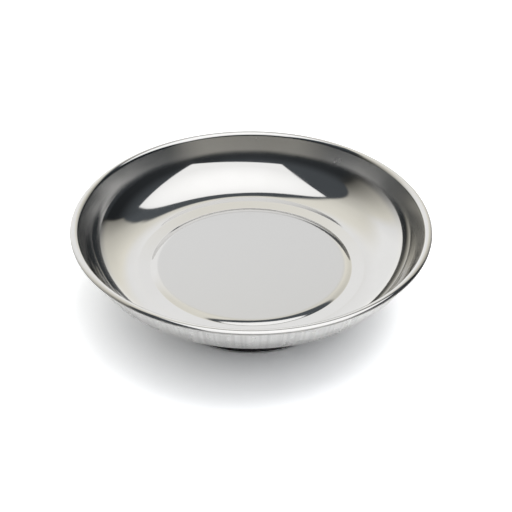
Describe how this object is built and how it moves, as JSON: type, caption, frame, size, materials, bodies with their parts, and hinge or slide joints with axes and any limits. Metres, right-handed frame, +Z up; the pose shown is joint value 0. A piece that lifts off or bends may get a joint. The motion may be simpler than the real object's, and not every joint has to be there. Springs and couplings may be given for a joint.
{
  "type": "magnetic parts tray",
  "caption": "Round drawn-steel dish with a rolled rim and a sunken centre panel over a ring magnet in a rubber boot, for holding small steel parts.",
  "frame": {"origin": "centre of the boot's foot, on the surface that the tray stands on", "axes": "+Z up along the axis that the dish, magnet and boot are round about, with X and Y across the rim"},
  "size_m": [0.15, 0.15, 0.04],
  "materials": {
    "stainless": "polished",
    "plated_steel": "bright zinc plate",
    "spring_steel": "zinc plate",
    "ferrite": "matt",
    "black_rubber": "matt"
  },
  "bodies": {
    "root": {"tray_bowl": "stainless", "weld_stud": "plated_steel", "ring_magnet": "ferrite", "magnet_cup": "plated_steel", "flat_washer": "plated_steel", "spring_washer": "spring_steel", "hex_nut": "plated_steel", "rubber_boot": "black_rubber"}
  },
  "joints": []
}
